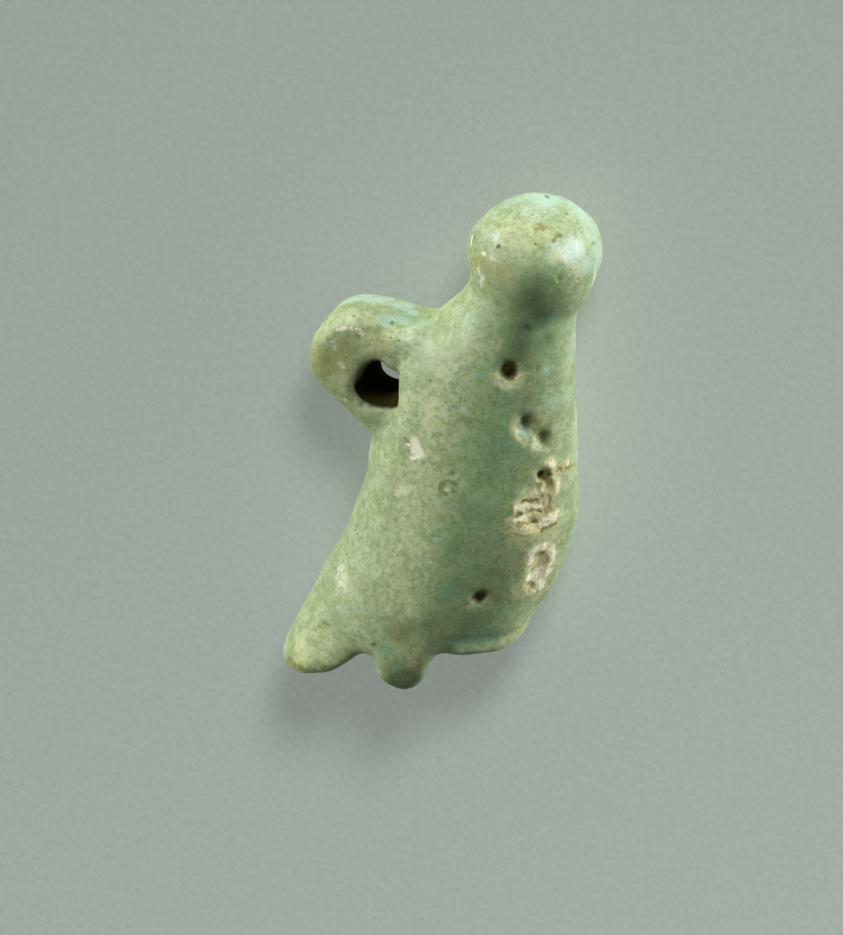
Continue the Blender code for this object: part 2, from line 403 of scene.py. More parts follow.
crownWear = {
    # open gas pits: across and down in the photo, half width, half height, turn, depth, a rim's height
    "pits": (
        (508.4, 370.3, 0.66, 0.52, 0, 0.16), (510, 374, 0.95, 0.85, 0, 0.09),
        (526, 424, 0.46, 0.58, 12, 0.08), (524, 428, 0.75, 0.85, 0, 0.08),
        (543, 437.5, 0.28, 0.46, -18, 0.04), (542, 440, 0.55, 0.7, -18, 0.05),
        (541.5, 475.5, 0.34, 0.27, 0, 0.22), (556, 470, 0.6, 0.11, 14, 0.12),
        (548.7, 486, 0.34, 0.36, 0, 0.12), (479.5, 597.5, 0.54, 0.34, 26, 0.2),
        (485, 602, 0.8, 0.52, 15, 0.05), (527, 328.5, 0.24, 0.2, 0, 0.07), (537, 369, 0.11, 0.09, 0, 0.07),
        (447.5, 487, 0.42, 0.42, 0, 0.02), (452.5, 474.5, 0.24, 0.24, 0, 0.04),
        (440.5, 468, 0.2, 0.12, 0, 0.03), (499, 247, 0.13, 0.12, 0, 0.05, 0.01),
        (483, 276, 0.14, 0.15, 0, 0.05, 0.01), (585.5, 283, 0.1, 0.1, 0, 0.04),
        (559, 279, 0.15, 0.15, 0, 0.05), (360, 337, 0.2, 0.09, 0, 0.04),
        (327, 629, 0.42, 0.38, 0, 0.025, 0.01), (340, 580, 0.1, 0.1, 0, 0.08),
    ),
    # fine pores with a dark fleck in them
    "flecks": (
        (547, 196.5, 0.15, 0.09, -30, 0.012), (566.5, 214, 0.11, 0.05, 0, 0.012),
        (558.5, 236, 0.18, 0.11, 30, 0.012), (553.8, 240.5, 0.1, 0.13, -10, 0.012),
        (535.5, 244, 0.07, 0.08, 0, 0.012), (392.4, 323, 0.13, 0.11, 0, 0.012),
        (430, 317, 0.09, 0.1, 0, 0.012), (430, 381, 0.07, 0.07, 0, 0.012), (360, 658, 0.1, 0.1, 0, 0.012),
        (354, 316, 0.09, 0.05, 0, 0.012), (399, 341, 0.08, 0.07, 0, 0.012),
        (391, 338, 0.06, 0.05, 0, 0.012), (594, 243.5, 0.08, 0.05, 0, 0.012),
        (499, 247.5, 0.14, 0.06, -10, 0.012),
    ),
    # rounded grains and low crumbs that stand up
    "crumbs": (
        (549.5, 464.5, 0.3, 0.27, -20, 0.2), (567, 461, 0.08, 0.24, 0, 0.06),
        (557, 485, 0.13, 0.42, -5, 0.07), (540.5, 489, 0.1, 0.22, 20, 0.06),
        (536, 492.5, 0.28, 0.18, 0, 0.09), (545, 500, 0.14, 0.24, 0, 0.12), (514, 508, 0.24, 0.05, 8, 0.05),
        (524, 505.8, 0.24, 0.08, 5, 0.11), (536, 507.3, 0.26, 0.12, -12, 0.15),
        (529, 516, 0.3, 0.16, 0, 0.09), (539, 516, 0.16, 0.12, 0, 0.08), (555, 516.5, 0.34, 0.2, 28, 0.18),
        (546.5, 520.5, 0.22, 0.15, 10, 0.2), (518, 521, 0.2, 0.08, 10, 0.1),
        (515.5, 528, 0.22, 0.17, 10, 0.1), (525, 528.5, 0.26, 0.15, 5, 0.1),
        (541, 548.5, 0.26, 0.13, 0, 0.08), (531, 554, 0.09, 0.3, -30, 0.11),
        (550.5, 554, 0.2, 0.34, 0, 0.11), (526.5, 577, 0.18, 0.14, 0, 0.08),
        (540.5, 574.5, 0.44, 0.19, 14, 0.17), (539, 585.5, 0.21, 0.24, 0, 0.17),
        (333, 345.5, 0.18, 0.24, 20, 0.04), (340.5, 364, 0.16, 0.2, 0, 0.05),
        (327, 384, 0.14, 0.22, 15, 0.04), (345.5, 400, 0.1, 0.09, 0, 0.04), (345, 329, 0.42, 0.08, 6, 0.05),
        (359.5, 331.5, 0.2, 0.16, 0, 0.06), (478, 272, 0.16, 0.26, 10, 0.05),
        (484, 253, 0.08, 0.1, 0, 0.04), (494, 259, 0.22, 0.09, 25, 0.04),
    ),
    # holes and cracks in the worn places
    "holes": (
        (525, 501.3, 0.2, 0.11, -5, 0.18), (535, 500.3, 0.2, 0.09, 0, 0.16),
        (525, 509.5, 0.22, 0.07, -10, 0.1), (537, 511.5, 0.26, 0.07, -8, 0.1),
        (519, 513.8, 0.13, 0.11, 0, 0.22), (533, 522, 0.28, 0.12, 12, 0.2),
        (540, 518.5, 0.08, 0.14, -20, 0.1), (550, 525.3, 0.38, 0.07, 24, 0.16),
        (536.5, 529, 0.24, 0.18, 0, 0.16), (518, 534, 0.5, 0.05, 4, 0.08), (549, 499, 0.07, 0.14, 0, 0.08),
        (539, 554.5, 0.26, 0.15, -20, 0.11), (542, 565, 0.46, 0.3, 12, 0.03),
        (530.5, 571.5, 0.11, 0.2, -20, 0.16), (529.7, 585, 0.2, 0.21, 0, 0.16),
        (534, 590, 0.16, 0.08, -10, 0.08),
    ),
    # where the glaze is gone
    "bare": (
        (550, 464.5, 0.34, 0.3, 0), (560, 468, 0.5, 0.16, 20), (546, 477, 0.34, 0.32, 0),
        (552, 486, 0.44, 0.52, 0), (540, 496, 0.72, 0.4, 0), (530, 507, 0.85, 0.46, 0),
        (548, 505, 0.36, 0.66, 0), (523, 522, 0.72, 0.58, 8), (545, 518, 0.78, 0.44, 15),
        (535, 530, 0.48, 0.24, 0), (541, 549, 0.45, 0.26, 0), (533, 556, 0.28, 0.42, -25),
        (550, 555, 0.34, 0.46, 0), (541, 565, 0.58, 0.42, 0), (537, 575, 0.66, 0.32, 12),
        (534, 585, 0.52, 0.42, 0),
    ),
    "bareEdge": (1.35, 0.8),
    "raggedEdge": ((0.4, 0.34, 5), (0.16, 0.26, 9)),        # size, height and seed
    # thinned glaze round them: where it ends and starts, how ragged, how strong
    "halo": ((1.9, 1), 1.4, 0.75),
    "bareDepth": 0.005,
    "bareGrains": ((0.34, 0.03, 17), (0.16, 0.014, 29)),        # size, height and seed
    # pale chips in the glaze; the last two, along the knob's left and right edges, are partly chips and
    # partly a painted bright rim
    "chips": (
        (416, 448, 0.28, 0.56, 6, 0.03), (413, 457, 0.17, 0.14, 0, 0.02),
        (408.5, 444.5, 0.14, 0.07, 10, 0.01), (471.5, 240, 0.06, 0.26, -12, 0.01),
        (594.5, 277, 0.09, 0.36, -18, 0.02),
    ),
    # each kind of mark: a factor on its heights, edge, waver, seed step, its tint and the tint's edge
    "kinds": {
        "pits": (-1, (1.2, 0.3), 0.06, 1.7, None, None),
        "flecks": (-1, (1.3, 0.2), 0.12, 2.9, "fleck", (1.7, 0.5)),
        "crumbs": (0.19, (1.4, 0), 0.1, 1.3, None, None),
        "holes": (-0.19, (1.4, 0), 0.12, 2.1, None, None),
        "chips": (-1, (1.3, 0.5), 0.14, 3.3, "cream", (1.6, 0.4)),
    },
    "rimShape": (1.25, 0.22),        # where a pit's rim stands and its width, in the pit's own sizes
    "loopGroove": (
        (339, 310), (348, 306.5), (357, 304.6), (370, 307.2), (382.5, 311.5), (400, 314.5), (415, 318)),
    "loopGrooveForm": (0.1, 0.05, 0.6),        # width, depth and how olive
    "fineFrom": 0.09,         # the mesh is made finer round pits deeper than this
    "fineMargins": (0.12, 0),
}

# strokes of colour, by tint: reach and strength in tenths, then across and down in the photo for each point
crownStrokes = {
    "thinAndLit": (        # pale crescents below the pits, partly pale glaze and partly painted light on their lower rims, pale ground round the worn places, and painted light down the body's left middle, in the dip at the loop's root and along the front lip
        (3, 10, 495, 374, 500, 383, 508, 386, 517, 383, 524, 375),
        (2.6, 6.5, 514, 417, 514, 430, 519, 439, 528, 445, 537, 449, 547, 449),
        (1.6, 7, 530, 430, 535, 438, 537, 445), (3, 9, 526, 580, 527, 592, 537, 597, 547, 588),
        (4.5, 7.5, 513, 540, 530, 540, 548, 534, 562, 520), (3.2, 5, 504, 640, 516, 633, 527, 623),
        (1.2, 6, 446, 490, 450, 490), (5.5, 4.2, 408, 331, 411, 344, 410, 354),
        (16, 3.8, 440, 400, 430, 440, 426, 480, 410, 520, 400, 560, 392, 600),
    ),
    "aquaAndLit": (        # the loop's pale outer strip, and painted light on the bottom of a pit and in the dip at the loop's root
        (5, 7.5, 346, 302, 360, 299, 378, 301, 395, 306, 411, 312), (3.8, 3.5, 404, 322, 408, 331),
        (2.6, 11, 525, 427, 527, 434), (3, 7, 386, 318, 396, 320),
    ),
    "fleck": (        # olive marks, and painted shade along the nape's lower edge
        (1.8, 11, 440, 488, 441, 485, 444, 482), (1.7, 6.5, 448, 481, 452, 482, 455, 485),
        (1.6, 9, 455, 489, 453, 492), (1.3, 8, 442, 492, 446, 494),
        # the first stroke on the next line, along the nape's lower edge, is painted shade where it turns
        # under
        (2.6, 6.2, 289, 659, 300, 667.5, 315, 669.5, 329, 666), (1.6, 6, 324, 622, 328, 627),
        (1.2, 6, 437, 451, 443, 450), (1.1, 7, 440, 468, 441, 470), (1, 6, 411, 406, 413, 408),
        (1, 4, 380, 505, 382, 518), (0.9, 5, 378, 489, 383, 490), (0.8, 5, 380, 497, 383, 499),
        (0.7, 5, 486, 529, 494, 530), (1.4, 5, 362, 549, 364, 553), (1, 5, 479, 284, 481, 288),
        (0.8, 5, 489, 262, 491, 268), (0.9, 4, 530, 460, 534, 462), (1, 3, 478, 533, 480, 534),
    ),
    "deepAndShade": (        # greener dark spots, and painted shade along the rim's lower edge and at the bottom of the cord hole's mouth
        (1.4, 8, 405, 438, 407, 440), (1.3, 7, 405, 451, 409, 451), (1.3, 9, 422, 460, 423, 462),
        (1.5, 8, 452, 473, 454, 474), (1.2, 7, 349, 567, 350, 569), (1, 8, 392, 550, 393, 551),
        (1.2, 7, 419, 544, 420, 546), (1.6, 4, 553, 283, 555, 285), (1.6, 6, 559, 277, 561, 278),
        (2.2, 7, 450, 656, 462, 655, 480, 653), (2.2, 8, 360, 402, 374, 406, 392, 405),
    ),
    "cream": (        # pale crumbs and scuffs on the glaze
        (5.8, 5.6, 340, 574, 342, 580, 342, 585), (0.9, 9, 338, 330, 346, 327.5, 352, 328),
        (1.2, 6, 333, 342, 335, 349), (1.3, 7, 339, 362, 343, 367), (1, 6, 326, 380, 329, 388),
        (1.4, 9, 357, 329, 362, 334), (1, 6, 345, 400, 347, 401), (2.6, 6.2, 479, 269, 482, 277, 481, 284),
        # the last stroke on the next line, over the knob's right side, is a painted highlight
        (1, 9, 483, 253, 485, 254), (1.2, 8, 490, 258, 496, 260), (3.4, 4.2, 558, 243, 562, 251, 566, 258),
        (1, 7, 519, 420, 521, 425), (1.8, 4, 514, 428, 519, 438, 527, 444, 534, 447),
        (1.4, 4, 535, 449, 541, 451, 546, 450), (0.6, 5, 430, 563, 433, 562), (5, 4.2, 398, 491, 407, 490),
        (2, 5.5, 497, 380, 503, 386, 512, 386), (0.6, 4, 429, 562, 434, 560), (0.7, 5, 436, 540, 439, 539),
    ),
    "crest": (        # cream crumbs
        (3.6, 11, 545.5, 466, 552, 464), (1.3, 9, 509, 508.5, 518, 507, 524, 505.5),
        (2, 12, 523, 506, 531, 506.5, 538.5, 508), (3, 12, 543, 523, 549, 519.5, 558.5, 514.3),
        (2, 9, 521, 518, 527, 517.5), (2, 9, 516, 522, 520, 522.5),
        (2.4, 5.5, 514.5, 530, 524, 528.5, 532, 527.5), (2.4, 6, 534, 494, 540, 491),
        (1.8, 8, 545, 497, 546, 503), (1.8, 5, 558, 478, 558, 492), (2, 8, 566, 459, 569, 463),
        (2.4, 11, 531, 562, 532, 553, 539, 548, 545, 547), (3, 11, 551, 550, 554, 556, 552, 562),
        (4.4, 13, 526, 577.5, 533, 576, 541, 573.5, 547, 572.5), (4, 13, 539, 580, 541, 586, 537, 590),
        (2, 4, 545, 484, 548, 488),
    ),
    "crack": (        # brown cracks and stained hollows
        (1.5, 11, 523, 502, 528, 500.5, 538, 500), (1.1, 9, 526, 511, 533, 510, 541, 511),
        (0.8, 8, 511.4, 532.9, 518, 535.5, 524.3, 535.7), (1, 6, 533, 515, 536, 512),
        (0.9, 10, 540, 531.4, 548, 527.5, 555.7, 523.6), (1.1, 9, 550, 474, 560, 469.5, 570, 467),
        (1.4, 5, 546, 489, 550, 499, 549, 508), (1.7, 9, 530, 520, 537, 521),
        (1.7, 9, 518, 514, 520.5, 514), (1.5, 8, 535, 557, 537, 553, 542, 553),
        (1.6, 5, 543, 562, 537, 566, 531.5, 571.5), (1.9, 9, 530, 583, 533, 586),
        (2.4, 7, 545, 480, 549, 483), (6.4, 9, 505.5, 370, 511, 371),
        (1.4, 9, 524, 418, 530, 417, 531, 421), (1.2, 5, 530, 505, 536, 513), (1.8, 7, 518, 525, 528, 523),
        (1, 4, 551, 505, 556, 500), (1.2, 6, 546, 512, 550, 510), (0.8, 5, 536, 587, 538, 592),
        (1.8, 8, 542, 432, 544, 441), (3.2, 9, 475, 599, 486, 595),
    ),
    "hollow": (        # the darkest bottoms of pits and cracks: soil, with painted shade
        (4, 5.5, 507.5, 371, 511, 373), (1.1, 6, 525.5, 417.5, 529, 417.5), (2, 11, 540.5, 475.5, 543, 475),
        (2, 6, 474, 599, 482, 596), (0.9, 6, 537, 369, 538, 369), (1.1, 9, 518, 514, 520, 514),
        (0.9, 8, 532, 522, 536, 521.5), (0.7, 7, 524, 501.5, 527, 501), (0.6, 7, 533, 500, 536, 500),
        (1, 5, 529, 583, 531, 585), (0.9, 4, 339.5, 580, 340.5, 580),
    ),
}

# airbrushed zones of colour, by tint: across and down in the photo, then reach and strength in tenths
crownTones = {
    "sea": (
        (555, 318, 7, 10), (545, 400, 9, 7), (500, 612, 9, 9), (514, 598, 7, 8), (435, 640, 9, 5),
        (390, 655, 9, 7), (565, 585, 8, 5), (575, 530, 7, 5), (407, 318, 7, 8), (372, 597, 8, 3),
        (381, 617, 5, 5), (360, 470, 7, 4), (440, 365, 7, 2), (558, 275, 10, 6), (476, 228, 9, 9),
        (488, 212, 7, 6), (470, 245, 6, 7), (478, 318, 10, 7), (562, 352, 9, 5),
    ),
    "teal": (
        (552, 318, 7, 9), (535, 345, 6, 4), (482, 377, 5, 8), (500, 447, 8, 6), (516, 458, 6, 6),
        (503, 585, 7, 5), (506, 564, 2.4, 10), (450, 590, 7, 9), (482, 634, 8, 10), (503, 631, 4, 9),
        (462, 642, 5, 7), (386, 650, 6, 9), (395, 668, 4, 6), (407, 317, 5, 9), (424, 322, 5, 6),
        (412, 422, 2.2, 10), (379.5, 619, 1.6, 10), (381, 589, 1.6, 9), (392, 550, 1.8, 9),
        (418, 546, 1.8, 9), (358.5, 609, 1.6, 7), (371, 635, 2, 7), (480, 500, 8, 3), (455, 500, 6, 3),
        (515, 605, 5, 6), (557, 362, 4, 5), (413, 403, 1.8, 8), (391, 586, 1.4, 7), (420, 452, 1.2, 5),
        (590, 255, 5, 4), (593, 232, 4, 4), (425, 560, 2, 6),
    ),
    # pale aqua glaze on the knob and the loop, with painted light in the dip where the loop meets the body
    # and a painted highlight over the knob's right side
    "aquaAndLit": (
        (592, 226, 13, 6), (578, 208, 14, 8), (545, 198, 14, 8), (510, 202, 11, 5.5), (598, 258, 10, 9),
        (480, 225, 8, 4), (405, 305, 7, 8), (385, 299, 6, 9), (366, 295, 6, 9), (348, 301, 4, 6),
        (385, 320, 6, 8), (407, 343, 7, 5), (407, 358, 5, 3.5), (410, 336, 7, 5), (420, 325, 7, 6),
        (400, 318, 6, 6), (574, 345, 10, 6), (558, 250, 6, 9), (553, 262, 4, 6), (577, 420, 9, 8),
        (577, 455, 7, 6), (575, 530, 7, 4), (577, 440, 8, 4), (470, 325, 10, 3), (572, 252, 9, 10),
        (444, 414, 2.6, 8), (463, 410, 2.6, 7), (546, 370, 2.8, 7), (531, 390, 1.6, 6), (496, 237, 3.5, 8),
        (563, 397, 14, 3.8), (352, 311, 5, 4.5), (535, 210, 12, 5.5), (588, 284, 6, 3.5),
        (305, 652, 9, 3.5), (430, 345, 6, 3), (586, 266, 7, 7), (310, 600, 5, 3), (350, 560, 5, 2),
        (372, 445, 7, 4), (381, 452, 4, 5), (435, 540, 1.8, 7), (430, 560, 1.4, 6), (443, 430, 1.6, 6),
        (462, 290, 8, 4), (560, 300, 5, 3),
    ),
    "olive": (
        (316, 372, 7, 7), (326, 396, 6, 6), (322, 335, 5, 6), (338, 366, 16, 5), (338, 311, 5, 4),
        (292, 625, 6, 3), (330, 362, 10, 9), (318, 352, 8, 8), (345, 347, 9, 7.8), (375, 345, 8, 7),
        (392, 340, 5, 5), (330, 385, 7, 6), (345, 310, 5, 6), (360, 400, 6, 3), (505, 235, 11, 3.5),
        (520, 262, 11, 4), (480, 262, 8, 8), (498, 270, 9, 7), (486, 285, 9, 6), (476, 250, 5, 5),
        (508, 280, 7, 6), (510, 300, 10, 4), (450, 462, 6, 6), (396, 475, 6, 5), (440, 482, 5, 4),
        (460, 612, 10, 5), (397, 633, 6, 6.6), (408, 624, 5, 5.8), (440, 632, 7, 5), (300, 667, 8, 11),
        (330, 668, 7, 7), (405, 682, 7, 4.5), (422, 665, 5, 7), (327, 623, 3.8, 7.2), (325, 632, 3.6, 6.6),
        (349, 645, 4, 6), (336, 598, 3, 7), (363, 553, 2.5, 7), (525, 615, 7, 3), (480, 600, 6, 5),
        (556, 590, 6, 5), (541, 610, 5, 5), (510, 522, 5, 5), (528, 362, 5, 5), (545, 425, 4, 5),
        (556, 340, 5, 3),
    ),
    # pale thin glaze round the pits and worn places, and painted light on the knob's upper middle and right,
    # over the loop's top and face, down the body's left middle and on the nape lobe
    "thinAndLit": (
        (497, 343, 4.5, 4.5), (550, 534, 9, 8), (569, 465, 6, 7), (558, 560, 5, 6), (523, 548, 4, 6),
        (520, 590, 7, 8), (505, 462, 6, 3.8), (553, 366, 2, 5), (352, 319, 6, 5.5), (372, 321, 6, 6),
        (404, 490, 4.2, 7), (409, 605, 9, 5), (462, 482, 2, 6), (470, 607, 3, 5), (362, 335, 2, 6),
        (345, 328.5, 2.5, 5), (400, 425, 5, 4), (377, 408, 3, 4), (438, 345, 8, 3), (526, 236, 11, 5),
        (548, 236, 9, 4.5), (555, 255, 5, 7), (508, 228, 8, 5), (302, 652, 9, 8.5), (322, 655, 6, 6),
        (430, 415, 10, 5.5), (410, 402, 8, 4), (425, 482, 8, 4), (418, 546, 10, 4.5), (385, 562, 8, 3.5),
        (576, 268, 7, 6), (562, 230, 5, 4), (396, 346, 7, 2.5), (428, 440, 8, 3), (436, 482, 8, 3),
        (396, 592, 8, 3), (432, 560, 6, 3), (370, 336, 5, 7), (388, 336, 5, 7), (385, 345, 6, 6),
        (480, 272, 3.5, 5), (317, 640, 7, 3), (338, 650, 8, 5), (345, 578, 4.5, 5), (416, 450, 6, 5),
        (545, 395, 4, 3),
    ),
    # painted shade: under the knob and round the neck, on the knob's left edge, down the middle, along the
    # lower edges, nape and tab where they turn under, at the cord hole's mouth, and the dark of a small pit
    "deepAndShade": (
        (522, 330, 9, 8), (542, 320, 9, 8), (502, 315, 7, 4), (530, 298, 9, 7), (548, 338, 7, 7),
        (512, 280, 7, 3.5), (470, 622, 9, 6.5), (445, 646, 7, 5), (470, 648, 5, 5), (496, 650, 4, 7),
        (424, 668, 5, 4), (480, 560, 8, 3), (527, 328.5, 2.6, 13), (505, 440, 5, 3), (528, 400, 5, 5),
        (355, 378, 4, 5), (355, 392, 4, 4), (405, 684, 9, 18), (330, 670, 5, 10), (470, 652, 4, 8),
        (450, 654, 4, 8), (300, 673, 5, 10), (316, 673, 5, 10), (490, 652, 3, 7), (399, 634, 7, 7.5),
        (411, 626, 6, 7), (426, 626, 7, 6), (474, 236, 7, 6.5), (484, 270, 9, 4.5), (500, 284, 8, 4.5),
        (515, 272, 6, 4.5), (434, 356, 11, 5), (540, 344, 7, 6), (560, 345, 7, 2.5), (315, 670, 6, 6),
        (345, 602, 9, 3.5), (565, 322, 6, 4), (292, 624, 7, 6), (318, 337, 4, 3), (520, 347, 10, 8.5),
        (518, 270, 8, 4), (526, 368, 6, 4), (484, 316, 12, 2.5),
    ),
    "cream": (
        (505, 382, 0.9, 9), (516, 377.5, 1, 9), (538, 449, 1.1, 7), (524, 444, 1, 6), (484, 253, 0.9, 9),
        # on the next line, the dabs at 562, 243 and 570, 252 are a painted highlight on the knob's right
        # side, and the one at 471, 243 is partly a pale chip and partly a painted bright rim on its left edge
        (491, 259, 1.2, 7), (562, 243, 3, 4), (570, 252, 0.7, 8), (471, 243, 1, 8), (447, 490, 2, 5),
        (570, 480, 7, 3.5), (475, 273, 1.4, 6), (436, 416, 1.2, 3), (463, 477, 1, 5),
    ),
    "rust": (
        (541, 227, 4, 10), (533.5, 214.5, 2.4, 7.5), (397, 400, 2, 3), (499, 250, 2, 3.5),
        (521, 423, 1.2, 6), (543, 437, 2, 7), (447, 486, 2, 3),
    ),
}
crownPaint = {
    # the deeper green that runs down the middle
    "band": ((530, 290), (530, 330), (514, 365), (502, 410), (498, 455), (484, 505), (466, 560), (455, 600)),
    "bandReach": 2.3,
    "bandStrength": 0.85,
    # along the rim: height above the lower edge, width, strength, and the fade that it follows
    "rim": {"teal": (0.95, 0.35, 1.1, "grooveFade"), "thinAndLit": (0.4, 0.2, 0.3, "lipFade")},
    # how a stroke's edge wavers and its strength varies: size, height and seed
    "ragged": ((0.3, 0.08, 31), (0.15, 0.07, 33), (0.07, 0.04, 35)),
    "broken": ((0.22, 0.8, 37),),
    "brokenRange": (0.3, 1.3),
}

boreDirtAndShade = {        # old dirt and painted shade darken the cord hole
    "start": 0.12,            # mm below its mouth
    "reach": (1.9, 0.4),      # mm from the glaze to full darkness, on the knob's side and on the other
    "sides": (0.3, -0.7),
    "inward": (0.2, 0.7),     # cosines between which a surface faces the hole's axis
    "ring": (1.3, 1.5),       # radii between which the mouth's height is read
    "edge": (1.5, 1.25),
}


def refineNearWear(piece, photo, wear, margin):        # finer faces round the pits, flecks and worn places
    clay = Clay(piece, photo)
    near = np.zeros(len(clay.points), bool)
    deepPits = tuple(pit for pit in wear["pits"] if pit[5] > wear["fineFrom"])
    for across, down, wide, tall, turn, *_ in deepPits + wear["flecks"] + wear["chips"] + wear["bare"]:
        share, _ = clay.around((across, down), wide + margin, tall + margin, turn)
        near |= share < 1
    editFaces(piece, facesAt(piece.data, near), bpy.ops.mesh.subdivide, number_cuts=1)
    near = np.zeros(len(piece.data.vertices), bool)
    piece.data.vertices.foreach_get("select", near)
    editFaces(piece, facesAt(piece.data, near), bpy.ops.mesh.vertices_smooth, factor=0.5, repeat=3)


def carveMarks(clay, wear):
    move = np.zeros_like(clay.points)
    for kind, (scale, edge, waver, seedStep, tint, tintEdge) in wear["kinds"].items():
        for number, (across, down, wide, tall, turn, height, *rim) in enumerate(wear[kind]):
            share, normal = clay.around((across, down), wide, tall, turn, waver, number * seedStep)
            change = scale * height * smoothStep(*edge, share)
            if rim:
                middle, width = wear["rimShape"]
                change += rim[0] * bell(share - middle, width)
            move += normal * change[:, None]
            if tint:
                clay.paint(tint, smoothStep(*tintEdge, share))
    return move


def wearGlaze(clay, wear):        # the glaze lost in two ragged patches, with a crumbly body under it
    bare = np.zeros(len(clay.points))
    halo = np.zeros(len(clay.points))
    ragged = clay.uneven(wear["raggedEdge"])
    haloEdge, haloRagged, haloStrength = wear["halo"]
    for across, down, *oval in wear["bare"]:
        share, _ = clay.around((across, down), *oval)
        bare = np.maximum(bare, smoothStep(*wear["bareEdge"], share + ragged))
        halo = np.maximum(halo, smoothStep(*haloEdge, share + ragged * haloRagged))
    clay.paint("bare", bare)
    clay.paint("thinAndLit", haloStrength * halo)
    width, depth, olive = wear["loopGrooveForm"]
    groove = bell(clay.path(wear["loopGroove"]), width)
    clay.paint("olive", olive * groove)
    height = bare * (clay.uneven(wear["bareGrains"]) - wear["bareDepth"]) - depth * groove
    return clay.normals * height[:, None]


def airbrush(clay, paint, form):
    front = clay.facing()
    for name, dabs in crownTones.items():
        for across, down, reach, strength in dabs:
            clay.paint(name, strength / 10 * bell(clay.gap((across, down)), reach / 10) * front)
    ragged = clay.uneven(paint["ragged"])
    broken = np.clip(1.0 + clay.uneven(paint["broken"]), *paint["brokenRange"])
    for name, strokes in crownStrokes.items():
        for reach, strength, *run in strokes:
            gap = np.maximum(0.0, clay.path(tuple(zip(run[::2], run[1::2]))) + ragged)
            clay.paint(name, strength / 10 * broken * bell(gap, reach / 10) * front)
    clay.paint("sea", paint["bandStrength"] * bell(clay.path(paint["band"]), paint["bandReach"]) * front)
    above, outside = aboveEdge(clay, form)
    for name, (middle, width, strength, fade) in paint["rim"].items():
        clay.paint(name, strength * bell(above - middle, width) * lipShare(clay, form, fade) * outside)


# paints the cord hole near-black: old dirt together with painted shade, full sooner on the wall away from the
# knob
def darkenBoreWithDirtAndShade(clay, dirtAndShade, form):
    fromAxis = clay.points[:, :2] - np.array(form["boreAxis"])
    gap = np.linalg.norm(fromAxis, axis=1)
    radii = gap / form["boreRadius"]
    inward = smoothStep(*dirtAndShade["inward"], -(clay.normals[:, :2] * fromAxis).sum(1) / gap)
    near, far = dirtAndShade["ring"]
    mouth = clay.points[(radii > near) & (radii < far), 2].max() - dirtAndShade["start"]
    slow, quick = dirtAndShade["reach"]
    reach = slow + (quick - slow) * smoothStep(*dirtAndShade["sides"], fromAxis[:, 1] / gap)
    deepAndShade = smoothStep(0.0, 1.0, (mouth - clay.points[:, 2]) / reach)
    clay.paint("boreShadeAndDirt", inward * smoothStep(*dirtAndShade["edge"], radii) * deepAndShade)


def makeCrown(photo):
    crown = copyOfSolid("crown_amulet", "glazedCrown")
    refineMesh(crown, crownForm)
    thinHiddenSide(crown, photo, crownForm)
    roundEdges(crown, photo, crownForm)
    print("crown remeshed:", len(crown.data.polygons), "faces")
    shapeForm(Clay(crown, photo), crownForm)
    for margin in crownWear["fineMargins"]:
        refineNearWear(crown, photo, crownWear, margin)
    clay = Clay(crown, photo)
    airbrush(clay, crownPaint, crownForm)
    darkenBoreWithDirtAndShade(clay, boreDirtAndShade, crownForm)
    clay.points += carveMarks(clay, crownWear) + wearGlaze(clay, crownWear)
    clay.write()
    clay.keepTints()
    selectOnly(crown)
    bpy.ops.object.shade_smooth()
    crown.data.calc_loop_triangles()
    print("crown carved:", len(crown.data.loop_triangles), "triangles")
    return crown


# Shader maths: a wire holds a node's output, and an expression on wires adds the Math nodes

class Wire:
    def __init__(self, tree, socket):
        self.tree = tree
        self.socket = socket

    def maths(self, operation, first, second):
        return self.tree.add("ShaderNodeMath", {"operation": operation}, {0: first, 1: second})

    def __add__(self, other):
        return self.maths("ADD", self, other)

    def __radd__(self, other):
        return self.maths("ADD", other, self)

    def __sub__(self, other):
        return self.maths("SUBTRACT", self, other)

    def __rsub__(self, other):
        return self.maths("SUBTRACT", other, self)

    def __mul__(self, other):
        return self.maths("MULTIPLY", self, other)

    def __rmul__(self, other):
        return self.maths("MULTIPLY", other, self)


